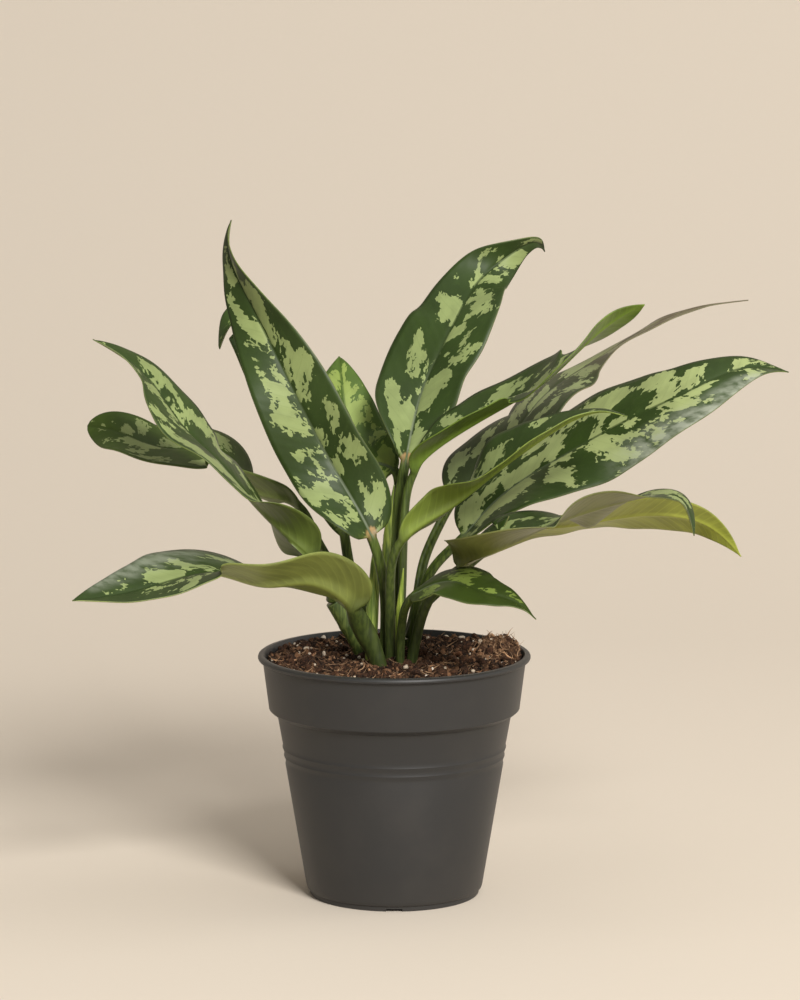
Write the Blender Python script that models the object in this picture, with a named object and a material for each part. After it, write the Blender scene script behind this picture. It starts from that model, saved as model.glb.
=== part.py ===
"""A chinese evergreen in a 12 cm nursery pot: pot, potting mix, canes, spears and fourteen leaves.

Lengths are in millimetres and angles in degrees until the meshes are made; the scene is in metres.
The pot stands on z = 0 with its axis on Z. The side with the low leaves faces -Y.
"""

import math
import random

import bmesh
import bpy
import numpy as np
from mathutils import Vector, noise

MM = 0.001
GAP = 0.3  # between pieces that touch
random.seed(12)

# Pot
LIP_RADIUS = 60.0
LIP_BEAD = 1.3
POT_HEIGHT = 107.5
WALL = 1.2
COLLAR_TOP_RADIUS = 57.9
COLLAR_FOOT_RADIUS = 55.2
COLLAR_FOOT = 83.4
SHOULDER_RADIUS = 51.4
SHOULDER = 79.8
BODY_FOOT_RADIUS = 39.1
BODY_FOOT = 4.6
RIB_HEIGHTS = (59.6, 63.4, 67.2)
RIB_DEPTH = 0.25
RIB_HALF_WIDTH = 1.1
FOOT_RADIUS = 37.4
FOOT_WIDTH = 4.0
FLOOR_UNDERSIDE = 1.8
FLOOR_TOP = 3.4
PAD_RADIUS = 12.0
DRAIN_COUNT = 8
DRAIN_CIRCLE = 23.0
DRAIN_DIAMETER = 8.0
NOTCH_COUNT = 4
NOTCH_WIDTH = 7.0
NOTCH_HEIGHT = 1.2
POT_STEPS = 72

# Potting mix
MIX_LEVEL = 104.8
MIX_RADIUS = 55.8
MIX_EDGE = 102.0
MIX_EDGE_ROUND = 0.5
MIX_RINGS = 16
MIX_STEPS = 54
PLANTED = 94.0  # the height of a planted stem's foot
SOCKET_LENGTH = 20.0
planted_stems = []  # the path and the foot's radius of each stem that stands in the potting mix
PERLITE_PLACES = ((-32, 39), (-39, 14), (38, 12), (23, 40), (30, 39), (5, -31), (-31, -2), (34, -38))
BARK_PLACES = ((-11, -33), (28, -2), (16, -30), (-44, -12))

# Leaves
BLADE_EDGE = 0.38  # half the thickness at a leaf's edge
RIB_TIP = 0.35
SECTION = (-1.0, -0.75, -0.4, 0.0, 0.4, 0.75, 1.0)
STALK_STATIONS = 8
BLADE_STATIONS = 21

# Colours
POT_GREY = (0.065, 0.061, 0.055)
PEAT = (0.045, 0.022, 0.012)
PERLITE = (0.72, 0.68, 0.60)
BARK = (0.12, 0.055, 0.025)
CANE_GREEN = (0.09, 0.13, 0.035)
SPEAR_GREEN = (0.22, 0.33, 0.07)
LEAF_GREEN = (0.055, 0.12, 0.03)
LEAF_YELLOW = (0.33, 0.36, 0.06)


def material(name, colour, roughness):
    made = bpy.data.materials.new(name)
    made.use_nodes = True
    shader = made.node_tree.nodes["Principled BSDF"]
    shader.inputs["Base Color"].default_value = (*colour, 1.0)
    shader.inputs["Roughness"].default_value = roughness
    shader.inputs["Metallic"].default_value = 0.0
    return made


def add_object(name, points, faces, colour, roughness=0.45):
    """A mesh object from points in millimetres, with its faces turned outwards."""
    mesh = bpy.data.meshes.new(name)
    mesh.from_pydata([tuple(MM * value for value in point) for point in points], [], faces)
    shape = bmesh.new()
    shape.from_mesh(mesh)
    bmesh.ops.recalc_face_normals(shape, faces=shape.faces)
    if shape.calc_volume(signed=True) < 0:
        bmesh.ops.reverse_faces(shape, faces=shape.faces)
    shape.to_mesh(mesh)
    shape.free()
    mesh.materials.append(material(name, colour, roughness))
    made = bpy.data.objects.new(name, mesh)
    bpy.context.scene.collection.objects.link(made)
    return made


def tube_faces(stations, around):
    """Quads between rings that follow each other, and one face to close each end."""
    faces = []
    for row in range(stations - 1):
        for column in range(around):
            after = (column + 1) % around
            low = row * around
            high = low + around
            faces.append((low + column, low + after, high + after, high + column))
    faces.append(tuple(range(around)))
    faces.append(tuple((stations - 1) * around + column for column in range(around)))
    return faces


def subtract(target, cutter):
    """Cuts 'cutter' out of 'target' and keeps it hidden."""
    cut = target.modifiers.new("cut_" + cutter.name, "BOOLEAN")
    cut.operation = "DIFFERENCE"
    cut.object = cutter
    cutter.hide_render = True
    cutter.display_type = "WIRE"


# Curves


def natural_spline(stations, values, at):
    """The natural cubic curve through 'values' at 'stations', read at the places 'at'."""
    stations = np.asarray(stations, float)
    values = np.asarray(values, float).reshape(len(stations), -1)
    gap = np.diff(stations)
    matrix = np.eye(len(stations))
    right = np.zeros_like(values)
    for i in range(1, len(stations) - 1):
        matrix[i, i - 1 : i + 2] = gap[i - 1], 2 * (gap[i - 1] + gap[i]), gap[i]
        slope_change = (values[i + 1] - values[i]) / gap[i] - (values[i] - values[i - 1]) / gap[i - 1]
        right[i] = 6 * slope_change
    bend = np.linalg.solve(matrix, right)
    k = np.clip(np.searchsorted(stations, at) - 1, 0, len(stations) - 2)
    span = gap[k][:, None]
    before = (stations[k + 1] - at)[:, None] / span
    after = (at - stations[k])[:, None] / span
    cubic = (before**3 - before) * bend[k] + (after**3 - after) * bend[k + 1]
    return before * values[k] + after * values[k + 1] + cubic * span**2 / 6


def unit(vectors):
    return vectors / np.linalg.norm(vectors, axis=-1, keepdims=True)


def lengths_along(points):
    return np.append(0.0, np.cumsum(np.linalg.norm(np.diff(points, axis=0), axis=1)))


def frame_along(points, turns, blade_start, heading):
    """Places, directions, right-hand sides and upper sides along a leaf, with t from 0 to 1 on its blade.

    The right-hand side is level for a leaf that points along 'heading', then turned about the leaf.
    """
    lengths = lengths_along(points)
    start, end = lengths[blade_start], lengths[-1]
    at = np.append(
        np.linspace(0, start, STALK_STATIONS, endpoint=False), np.linspace(start, end, BLADE_STATIONS)
    )
    middle = natural_spline(lengths, points, at)
    turn = np.radians(natural_spline(lengths, turns, at))
    ahead = unit(np.gradient(middle, at, axis=0))
    level = np.array([math.sin(math.radians(heading)), -math.cos(math.radians(heading)), 0.0])
    side = unit(level - (ahead @ level)[:, None] * ahead)
    up = np.cross(side, ahead)
    side = side * np.cos(turn) + up * np.sin(turn)
    up = np.cross(side, ahead)
    t = (at - start) / (end - start)
    stalk = np.clip(at / start, 0, 1)
    return middle, side, up, t, stalk


def leaf(name, heading, width, belly, stalk, blade, folds, curls, thick=(2.7, 2.2), colour=LEAF_GREEN):
    """A leaf and its leafstalk as one solid.

    'stalk' and 'blade' are the points of its midrib, and each point of the blade also has its turn.
    'belly' says how fast the blade widens from its base and narrows to its tip. 'folds' lift the left
    and right halves at the base, middle and tip, 'curls' bend each half further towards its edge, and
    'thick' is the stalk's radius, read evenly from its foot to the blade.
    """
    points = np.array([*stalk, *(point[:3] for point in blade)], float)
    turns = [blade[0][3]] * len(stalk) + [point[3] for point in blade]
    middle, side, up, t, along_stalk = frame_along(points, turns, len(stalk), heading)
    rise, fall = belly
    widest = rise / (rise + fall)
    on_blade = np.clip(t, 0, 1)
    half = width / 2 * (on_blade / widest) ** rise * ((1 - on_blade) / (1 - widest)) ** fall
    neck = thick[-1]
    on_stalk = np.interp(along_stalk, np.linspace(0, 1, len(thick)), thick)
    radius = np.where(t < 0, on_stalk, neck + (RIB_TIP - neck) * on_blade**0.7)
    reach = np.hypot(half, radius)
    flat = np.clip(half / (4 * radius), 0, 1)
    flat = flat * flat * (3 - 2 * flat)  # 0 on the round stalk, 1 on the flat blade
    upper = []
    lower = []
    for place in SECTION:
        right = place > 0
        fold = natural_spline((0, 0.5, 1), folds[right], on_blade)[:, 0]
        lean = np.radians(fold + curls[right] * abs(place) / 2) * flat
        across = (reach * place)[:, None]
        lifted = (reach * abs(place) * np.sin(lean))[:, None]
        surface = middle + side * across * np.cos(lean)[:, None] + up * lifted
        slope = np.radians(fold + curls[right] * abs(place)) * flat
        normal = up * np.cos(slope)[:, None] - math.copysign(1, place) * side * np.sin(slope)[:, None]
        round_half = radius * math.sqrt(max(1 - place**2, 0.06))
        midrib = np.exp(-((place * reach / (1.3 * radius)) ** 2))
        flat_half = BLADE_EDGE + (radius - BLADE_EDGE) * midrib
        thickness = ((1 - flat) * round_half + flat * flat_half)[:, None]
        upper.append(surface + 0.7 * thickness * normal)
        lower.append(surface - thickness * normal)
    rings = np.stack(upper + lower[::-1], axis=1)
    faces = tube_faces(rings.shape[0], rings.shape[1])
    if stalk[0][2] == PLANTED:
        planted_stems.append((points, thick[0]))
    return add_object(name, rings.reshape(-1, 3), faces, colour)


def stem(name, path, radii, colour, stations=12, around=14, grow=0.0):
    """A round stem along 'path', with 'radii' read evenly from its foot to its top."""
    path = np.array(path, float)
    lengths = lengths_along(path)
    at = np.linspace(0, lengths[-1], stations)
    middle = natural_spline(lengths, path, at)
    radius = np.interp(at / lengths[-1], np.linspace(0, 1, len(radii)), radii) + grow
    ahead = unit(np.gradient(middle, at, axis=0))
    side = unit(np.cross(ahead, (0.0, 1.0, 0.0)))
    front = np.cross(ahead, side)
    angle = np.arange(around) * 2 * math.pi / around
    rings = middle[:, None] + radius[:, None, None] * (
        side[:, None] * np.cos(angle)[None, :, None] + front[:, None] * np.sin(angle)[None, :, None]
    )
    if path[0][2] == PLANTED:
        planted_stems.append((path, radii[0]))
    return add_object(name, rings.reshape(-1, 3), tube_faces(stations, around), colour)


# Pot and potting mix


def circle(radius, height, steps):
    angles = [2 * math.pi * step / steps for step in range(steps)]
    return [(radius * math.cos(angle), radius * math.sin(angle), height) for angle in angles]


def turned_faces(rows, steps):
    """Quads between circles, whose points follow two points on the axis, and a fan at either end."""
    faces = []
    last = 2 + (rows - 1) * steps
    for step in range(steps):
        after = (step + 1) % steps
        faces.append((0, 2 + after, 2 + step))
        faces.append((1, last + step, last + after))
        for row in range(rows - 1):
            low = 2 + row * steps
            high = low + steps
            faces.append((low + step, low + after, high + after, high + step))
    return faces


def lathe(name, profile, steps, colour, roughness):
    """Turns (radius, height) points about Z. The first and last points lie on the axis."""
    inner = profile[1:-1]
    points = [(0.0, 0.0, profile[0][1]), (0.0, 0.0, profile[-1][1])]
    for radius, height in inner:
        points += circle(radius, height, steps)
    return add_object(name, points, turned_faces(len(inner), steps), colour, roughness)


def body_radius(height):
    """The outside of the tapered body between its foot and the shoulder."""
    share = (height - BODY_FOOT) / (SHOULDER - BODY_FOOT)
    return BODY_FOOT_RADIUS + (SHOULDER_RADIUS - BODY_FOOT_RADIUS) * share


def pot_outside():
    foot = [
        (PAD_RADIUS, 0.0),
        (PAD_RADIUS + 1.0, FLOOR_UNDERSIDE),
        (FOOT_RADIUS - FOOT_WIDTH - 0.8, FLOOR_UNDERSIDE),
        (FOOT_RADIUS - FOOT_WIDTH, 0.0),
        (FOOT_RADIUS - 0.5, 0.0),
        (FOOT_RADIUS, 0.5),
        (FOOT_RADIUS + 0.1, BODY_FOOT - 2.4),
        (BODY_FOOT_RADIUS - 1.1, BODY_FOOT - 2.2),
        (BODY_FOOT_RADIUS - 0.4, BODY_FOOT - 1.5),
        (BODY_FOOT_RADIUS, BODY_FOOT),
    ]
    ribs = []
    for height in RIB_HEIGHTS:
        ribs.append((body_radius(height), height - RIB_HALF_WIDTH))
        ribs.append((body_radius(height) - RIB_DEPTH, height))
        ribs.append((body_radius(height), height + RIB_HALF_WIDTH))
    collar = [
        (SHOULDER_RADIUS, SHOULDER),
        (SHOULDER_RADIUS + 0.5, SHOULDER + 1.3),
        (COLLAR_FOOT_RADIUS - 1.2, COLLAR_FOOT - 1.1),
        (COLLAR_FOOT_RADIUS, COLLAR_FOOT),
        (COLLAR_TOP_RADIUS, POT_HEIGHT - 2 * LIP_BEAD - 0.2),
    ]
    bead_height = POT_HEIGHT - LIP_BEAD
    lip = []
    for angle in (-70, -35, 0, 35, 70, 90):
        turn = math.radians(angle)
        bead_radius = LIP_RADIUS - LIP_BEAD + LIP_BEAD * math.cos(turn)
        lip.append((bead_radius, bead_height + LIP_BEAD * math.sin(turn)))
    return foot, ribs, collar, lip


def pot_inside():
    """The inner wall from the lip down to the floor, one wall thickness inside the outer one."""
    return [
        (COLLAR_TOP_RADIUS - 0.4, POT_HEIGHT),
        (COLLAR_TOP_RADIUS - WALL + 0.1, POT_HEIGHT - 1.0),
        (COLLAR_FOOT_RADIUS - WALL, COLLAR_FOOT + 0.4),
        (COLLAR_FOOT_RADIUS - WALL - 1.2, COLLAR_FOOT - 0.5),
        (SHOULDER_RADIUS - WALL + 0.3, SHOULDER + 2.2),
        (SHOULDER_RADIUS - WALL - 0.1, SHOULDER),
        (BODY_FOOT_RADIUS - WALL, BODY_FOOT + 0.6),
        (BODY_FOOT_RADIUS - WALL - 1.2, FLOOR_TOP),
    ]


def make_pot():
    foot, ribs, collar, lip = pot_outside()
    profile = [(0, 0.0), *foot, *ribs, *collar, *lip, *pot_inside(), (0, FLOOR_TOP)]
    pot = lathe("pot", profile, POT_STEPS, POT_GREY, 0.42)
    cutter = bmesh.new()
    for index in range(DRAIN_COUNT):
        angle = 2 * math.pi * (index + 0.5) / DRAIN_COUNT
        hole = bmesh.ops.create_cone(
            cutter, cap_ends=True, segments=16, radius1=DRAIN_DIAMETER / 2 * MM,
            radius2=DRAIN_DIAMETER / 2 * MM, depth=4 * FLOOR_TOP * MM,
        )
        hole_place = Vector((math.cos(angle), math.sin(angle), 0.0)) * DRAIN_CIRCLE * MM
        bmesh.ops.translate(cutter, verts=hole["verts"], vec=hole_place)
    for index in range(NOTCH_COUNT):
        angle = 2 * math.pi * index / NOTCH_COUNT
        outward = Vector((math.cos(angle), math.sin(angle), 0.0))
        notch = bmesh.ops.create_cube(cutter, size=1.0)["verts"]
        size = Vector((3 * FOOT_WIDTH, NOTCH_WIDTH, 2 * NOTCH_HEIGHT)) * MM
        bmesh.ops.scale(cutter, verts=notch, vec=size)
        turn = outward.to_track_quat("X", "Z").to_matrix()
        bmesh.ops.rotate(cutter, verts=notch, matrix=turn)
        bmesh.ops.translate(cutter, verts=notch, vec=outward * FOOT_RADIUS * MM)
    mesh = bpy.data.meshes.new("drain_cutter")
    cutter.to_mesh(mesh)
    cutter.free()
    cutter_object = bpy.data.objects.new("drain_cutter", mesh)
    bpy.context.scene.collection.objects.link(cutter_object)
    subtract(pot, cutter_object)
    return pot


def mix_height(x, y):
    """The top of the potting mix: a mound at the stems, a heap at the right-hand edge, and crumbs."""
    mound = 1.8 * math.exp(-(x * x + y * y) / 24.0**2)
    heap = 4.6 * math.exp(-((x - 49.0) ** 2 + (y - 14.0) ** 2) / 17.0**2)
    crumbs = 1.1 * noise.noise(Vector((x, y, 3.0)) / 9.0) + 0.6 * noise.noise(Vector((x, y, 8.0)) / 4.0)
    return MIX_LEVEL + mound + heap + crumbs


def make_mix():
    """Fills the pot from the floor up, one gap inside the wall."""
    side = [
        (BODY_FOOT_RADIUS - WALL - 1.5, FLOOR_TOP + GAP),
        (BODY_FOOT_RADIUS - WALL - GAP, BODY_FOOT + 1.0),
        (SHOULDER_RADIUS - WALL - GAP - 0.2, SHOULDER + 0.2),
        (SHOULDER_RADIUS - WALL - GAP + 0.5, SHOULDER + 3.0),
        (COLLAR_FOOT_RADIUS - WALL - GAP - 0.1, COLLAR_FOOT + 1.3),
        (MIX_RADIUS, MIX_EDGE),
    ]
    points = [(0.0, 0.0, FLOOR_TOP + GAP), (0.0, 0.0, mix_height(0, 0))]
    for radius, height in side:
        points += circle(radius, height, MIX_STEPS)
    for ring in range(MIX_RINGS, 0, -1):
        top = circle((MIX_RADIUS - MIX_EDGE_ROUND) * ring / MIX_RINGS, 0.0, MIX_STEPS)
        points += [(x, y, mix_height(x, y)) for x, y, _ in top]
    faces = turned_faces(len(side) + MIX_RINGS, MIX_STEPS)
    return add_object("potting_mix", points, faces, PEAT, 0.95)


def rest_on_mix(points):
    """The height by which 'points' must be lifted to lie just above the potting mix."""
    return max(mix_height(x, y) - z for x, y, z in points) + 2 * GAP


def make_grain(name, x, y, size, stretch, colour):
    """A crumb with uneven sides that lies on the potting mix."""
    shape = bmesh.new()
    bmesh.ops.create_icosphere(shape, subdivisions=1, radius=1.0)
    points = []
    for vertex in shape.verts:
        uneven = size / 2 * random.uniform(0.8, 1.15)
        points.append(tuple(uneven * value * axis for value, axis in zip(vertex.co, stretch)))
    faces = [tuple(vertex.index for vertex in face.verts) for face in shape.faces]
    shape.free()
    placed = [(x + px, y + py, pz) for px, py, pz in points]
    lift = rest_on_mix(placed)
    return add_object(name, [(px, py, pz + lift) for px, py, pz in placed], faces, colour, 0.85)


# Plant


def make_leaves():
    leaf("leaf_tall_left", heading=150, width=39, belly=(0.35, 0.91),
         stalk=[(-5, -7, 94), (-4, -10, 112), (-4, -14, 136)],
         blade=[(-10, -21, 163, 35), (-24, -13, 188, 70), (-42, -10, 222, 65),
                (-60, 1, 257, 85), (-72, 17, 282, 110), (-72, 35, 295, 90)],
         folds=((28, 14, 8), (6, 26, 30)), curls=(-6, -4))
    leaf("leaf_centre", heading=60, width=45, belly=(0.71, 1.29),
         stalk=[(2, 6.5, 116.5), (1, 8, 135), (1, 11, 165)],
         blade=[(5, 13, 191, -35), (16, 37, 228, -5), (27, 44, 249, -10),
                (45, 71, 271, -45), (64, 77, 281, -120), (68, 86, 276, -140)],
         folds=((34, 0, 30), (22, 20, 8)), curls=(-4, -8), thick=(2.3, 2.2))
    leaf("leaf_arched_right", heading=0, width=38, belly=(0.64, 0.91),
         stalk=[(2, 1.5, 116.5), (3, 2, 135), (4, 2, 166)],
         blade=[(8, 2, 187, 15), (24, 0, 203, 0), (59, 3, 223, 5),
                (71, -10, 234, 5), (95, -7, 255, 45), (108, -13, 263, 70)],
         folds=((40, 24, 4), (44, 14, -4)), curls=(-4, -14), thick=(2.3, 2.2))
    leaf("leaf_slender_back", heading=20, width=50, belly=(0.55, 1.74),
         stalk=[(6.5, 15.5, 112.5), (10, 19, 128), (13, 24, 144), (20, 28, 160)],
         blade=[(27, 33, 171, -50), (45, 45, 185, -40), (61, 50, 208, -15), (84, 72, 224, -15),
                (108, 73, 239, 0), (136, 70, 252, -10), (159, 67, 256, -15)],
         folds=((-2, -10, 12), (10, 16, 18)), curls=(-22, -8), thick=(2.3, 2.0))
    leaf("leaf_big_right", heading=0, width=54, belly=(0.47, 0.97),
         stalk=[(7, -5, 94), (8, -5, 112), (17, -8, 147)],
         blade=[(30, -10, 161, -35), (42, -7, 174, -30), (74, -10, 197, -35), (100, -18, 213, -45),
                (129, -24, 228, -45), (155, -14, 236, -40), (171, -8, 233, -20)],
         folds=((16, -4, 4), (28, 6, 16)), curls=(-18, -6))
    leaf("leaf_near_right", heading=0, width=33, belly=(0.7, 0.97),
         stalk=[(-1, -12, 94), (-2, -14, 112), (-2, -20, 135)],
         blade=[(3, -32, 163, 35), (22, -37, 177, 30), (42, -47, 194, -10),
                (63, -57, 211, -10), (88, -62, 223, 0), (98, -68, 222, -10)],
         folds=((16, 34, 4), (30, 40, 14)), curls=(-16, -20))
    leaf("leaf_low_right", heading=0, width=47, belly=(0.56, 1.01),
         stalk=[(5, -13, 94), (8, -14, 110), (18, -22, 140)],
         blade=[(29, -30, 151, 45), (46, -56, 164, 20), (62, -51, 171, 10), (82, -49, 178, 40),
                (103, -44, 183, 20), (122, -42, 183, -5), (128, -50, 168, -35)],
         folds=((72, 18, 6), (52, -6, 14)), curls=(0, -10))
    leaf("leaf_yellow_right", heading=0, width=33, belly=(0.63, 1.15),
         stalk=[(6.5, 10, 112.5), (11, 9, 124), (23, 6, 137)],
         blade=[(38, 2, 151, 50), (55, -2, 162, 40), (76, -10, 166, 30),
                (107, -13, 171, 45), (135, -21, 168, 65), (149, -38, 157, 70)],
         folds=((12, 16, 12), (8, 0, 16)), curls=(-8, -12), thick=(2.3, 2.0), colour=LEAF_YELLOW)
    leaf("leaf_small_right", heading=-10, width=28, belly=(0.61, 1.29),
         stalk=[(2, -19, 94), (2, -21, 112), (3, -26, 126)],
         blade=[(8, -39, 140, -20), (24, -49, 148, -20), (36, -61, 146, -30),
                (52, -68, 142, -25), (60, -73, 136, -10)],
         folds=((-4, 10, 4), (10, 12, 14)), curls=(-20, -12))
    leaf("leaf_upper_left", heading=180, width=47, belly=(0.6, 1.05),
         stalk=[(-27.5, -4.5, 132), (-28, -10, 143), (-33, -15, 150)],
         blade=[(-36, -21, 154, -50), (-59, -21, 176, 0), (-79, -21, 199, 10),
                (-90, -17, 209, 20), (-107, -5, 230, 25), (-130, -14, 248, 5)],
         folds=((36, 10, 38), (12, 4, 20)), curls=(-8, -16), thick=(2.4, 2.4))
    leaf("leaf_blunt_left", heading=170, width=34, belly=(0.59, 0.6),
         stalk=[(-27.5, 0.5, 132), (-27, 2, 145), (-33, 4, 157)],
         blade=[(-41, 4, 172, -25), (-66, 16, 179, -20), (-77, 28, 191, 25),
                (-102, 26, 195, 25), (-123, 35, 201, 40), (-137, 46, 202, 60)],
         folds=((24, 10, -6), (20, 0, 12)), curls=(6, -8), thick=(2.4, 2.4))
    leaf("leaf_low_left", heading=180, width=51, belly=(0.46, 0.96),
         stalk=[(-5, -18, 94), (-7, -20, 108), (-15, -24, 127)],
         blade=[(-18, -30, 134, -45), (-37, -42, 147, -30), (-56, -49, 147, -15), (-75, -46, 151, 0),
                (-98, -58, 149, 25), (-119, -71, 146, 30), (-135, -84, 146, 20)],
         folds=((14, 14, 20), (12, 12, 12)), curls=(0, -2), thick=(3.9, 3.9, 4.1, 5.2, 5.0, 3.4))
    leaf("leaf_short_back", heading=130, width=35, belly=(0.57, 0.97),
         stalk=[(-3, 7, 116.5), (-4, 11, 132), (0, 19, 164)],
         blade=[(0, 26, 185, 55), (-12, 38, 188, 35), (-23, 55, 215, 20), (-25, 71, 230, 25)],
         folds=((-8, 12, 10), (30, 4, 12)), curls=(-18, -8), thick=(2.3, 2.0))
    leaf("leaf_hidden_left", heading=160, width=34, belly=(0.61, 0.67),
         stalk=[(-8, 11, 94), (-10, 13, 112), (-19, 16, 140)],
         blade=[(-22, 18, 157, 65), (-37, 22, 207, 60), (-54, 25, 229, 40),
                (-71, 30, 250, 40), (-77, 25, 239, 30)],
         folds=((14, 16, 22), (16, 12, 16)), curls=(-6, -8))


def make_stems():
    """Canes stand in the potting mix, and the tall spear stands on the centre cane."""
    stem("cane_left", [(-11.5, 2, 94), (-12.5, 1.5, 105), (-18, 0, 117), (-26.3, -2, 131.1)],
         (5.0, 5.0, 4.8, 4.5), CANE_GREEN)
    stem("cane_centre", [(-0.5, 4, 94), (-0.5, 4, 105), (-0.5, 4, 116)], (5.2, 5.2, 5.0), CANE_GREEN)
    stem("cane_right", [(6, 13, 94), (6.5, 13, 103), (6.5, 13, 111.6)], (4.6, 4.6, 4.2), CANE_GREEN)
    stem("spear_tall", [(-3, 1.8, 116.5), (-3.5, 0, 140), (-2.5, -3, 165), (0, -4, 183)],
         (2.2, 2.4, 2.2, 0.3), SPEAR_GREEN)
    stem("spear_bright", [(1.7, -6, 94), (2, -6, 112), (2.5, -8, 130), (4, -10, 147)],
         (2.1, 2.1, 1.9, 0.3), SPEAR_GREEN)
    stem("spear_left", [(-11, -8.5, 94), (-10.3, -8.6, 112), (-9, -7.5, 135), (-8, -6, 162)],
         (2.6, 2.6, 3.2, 3.1, 2.4, 0.3), SPEAR_GREEN)


def cut_sockets(mix):
    """A socket one gap wider than each planted stem, from just under its foot to above the mix."""
    for index, (path, radius) in enumerate(planted_stems):
        lengths = lengths_along(path)
        buried = natural_spline(lengths, path, np.linspace(0, SOCKET_LENGTH, 6))
        foot = buried[0] - (0, 0, 2 * GAP)
        cutter = stem(f"socket_cutter_{index}", [foot, *buried], (radius, radius), PEAT, 8, grow=GAP)
        subtract(mix, cutter)


def scatter_crumbs():
    for index, (x, y) in enumerate(PERLITE_PLACES, 1):
        make_grain(f"perlite_grain_{index}", x, y, random.uniform(3.0, 4.6), (1, 0.9, 0.75), PERLITE)
    for index, (x, y) in enumerate(BARK_PLACES, 1):
        make_grain(f"bark_chip_{index}", x, y, random.uniform(6.0, 8.0), (1, 0.5, 0.22), BARK)


def main():
    for old in list(bpy.data.objects):
        bpy.data.objects.remove(old, do_unlink=True)
    make_pot()
    make_leaves()
    make_stems()
    cut_sockets(make_mix())
    scatter_crumbs()


main()
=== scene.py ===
"""Looks of the potted chinese evergreen: its leaves, stems, potting mix and nursery pot.

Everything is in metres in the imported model's frame: the pot stands on z = 0 with its axis on Z.
Leaves, stems and potting mix are worked out in millimetres, as the construction states them.
"""

import math

import bpy
import numpy as np
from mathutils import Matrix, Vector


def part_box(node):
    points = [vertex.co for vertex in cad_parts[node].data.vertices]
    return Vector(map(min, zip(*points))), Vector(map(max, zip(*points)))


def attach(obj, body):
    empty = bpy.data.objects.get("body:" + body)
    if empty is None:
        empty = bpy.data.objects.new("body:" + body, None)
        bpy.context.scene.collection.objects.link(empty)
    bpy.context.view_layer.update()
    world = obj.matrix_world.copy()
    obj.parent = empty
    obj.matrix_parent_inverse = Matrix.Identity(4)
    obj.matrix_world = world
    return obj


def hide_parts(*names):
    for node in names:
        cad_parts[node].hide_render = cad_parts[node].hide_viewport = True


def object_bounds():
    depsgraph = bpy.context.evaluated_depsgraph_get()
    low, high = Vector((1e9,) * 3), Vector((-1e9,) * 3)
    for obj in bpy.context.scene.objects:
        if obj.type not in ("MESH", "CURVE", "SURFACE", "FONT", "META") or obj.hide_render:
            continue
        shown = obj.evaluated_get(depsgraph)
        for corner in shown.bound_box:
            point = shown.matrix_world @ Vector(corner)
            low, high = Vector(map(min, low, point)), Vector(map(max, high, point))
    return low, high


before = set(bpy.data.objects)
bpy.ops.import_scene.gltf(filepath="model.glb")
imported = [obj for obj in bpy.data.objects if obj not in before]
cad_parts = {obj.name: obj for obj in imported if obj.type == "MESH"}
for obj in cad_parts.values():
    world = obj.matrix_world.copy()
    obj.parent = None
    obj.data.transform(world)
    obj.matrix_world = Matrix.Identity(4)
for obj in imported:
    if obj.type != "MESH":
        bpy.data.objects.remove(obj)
CAD_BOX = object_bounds()
MM = 0.001
BODY = "root"

# ---------------------------------------------------------------- shader writing


class Wire:
    """A shader value. Arithmetic on it adds Math nodes."""

    def __init__(self, finish, socket):
        self.finish = finish
        self.socket = socket

    def calculate(self, operation, first, second=0.0):
        return self.finish.add("Math", {0: first, 1: second}, operation=operation)

    def __add__(self, other):
        return self.calculate("ADD", self, other)

    def __radd__(self, other):
        return self.calculate("ADD", other, self)

    def __sub__(self, other):
        return self.calculate("SUBTRACT", self, other)

    def __rsub__(self, other):
        return self.calculate("SUBTRACT", other, self)

    def __mul__(self, other):
        return self.calculate("MULTIPLY", self, other)

    def __rmul__(self, other):
        return self.calculate("MULTIPLY", other, self)

    def __abs__(self):
        return self.calculate("ABSOLUTE", self)

    def sign(self):
        return self.calculate("SIGN", self)

    def sine(self):
        return self.calculate("SINE", self)

    def rise(self, low, high):
        """0 below 'low', 1 above 'high', and an S-shaped step between them."""
        sockets = {"Value": self, "From Min": low, "From Max": high}
        return self.finish.add("MapRange", sockets, interpolation_type="SMOOTHSTEP")


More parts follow.
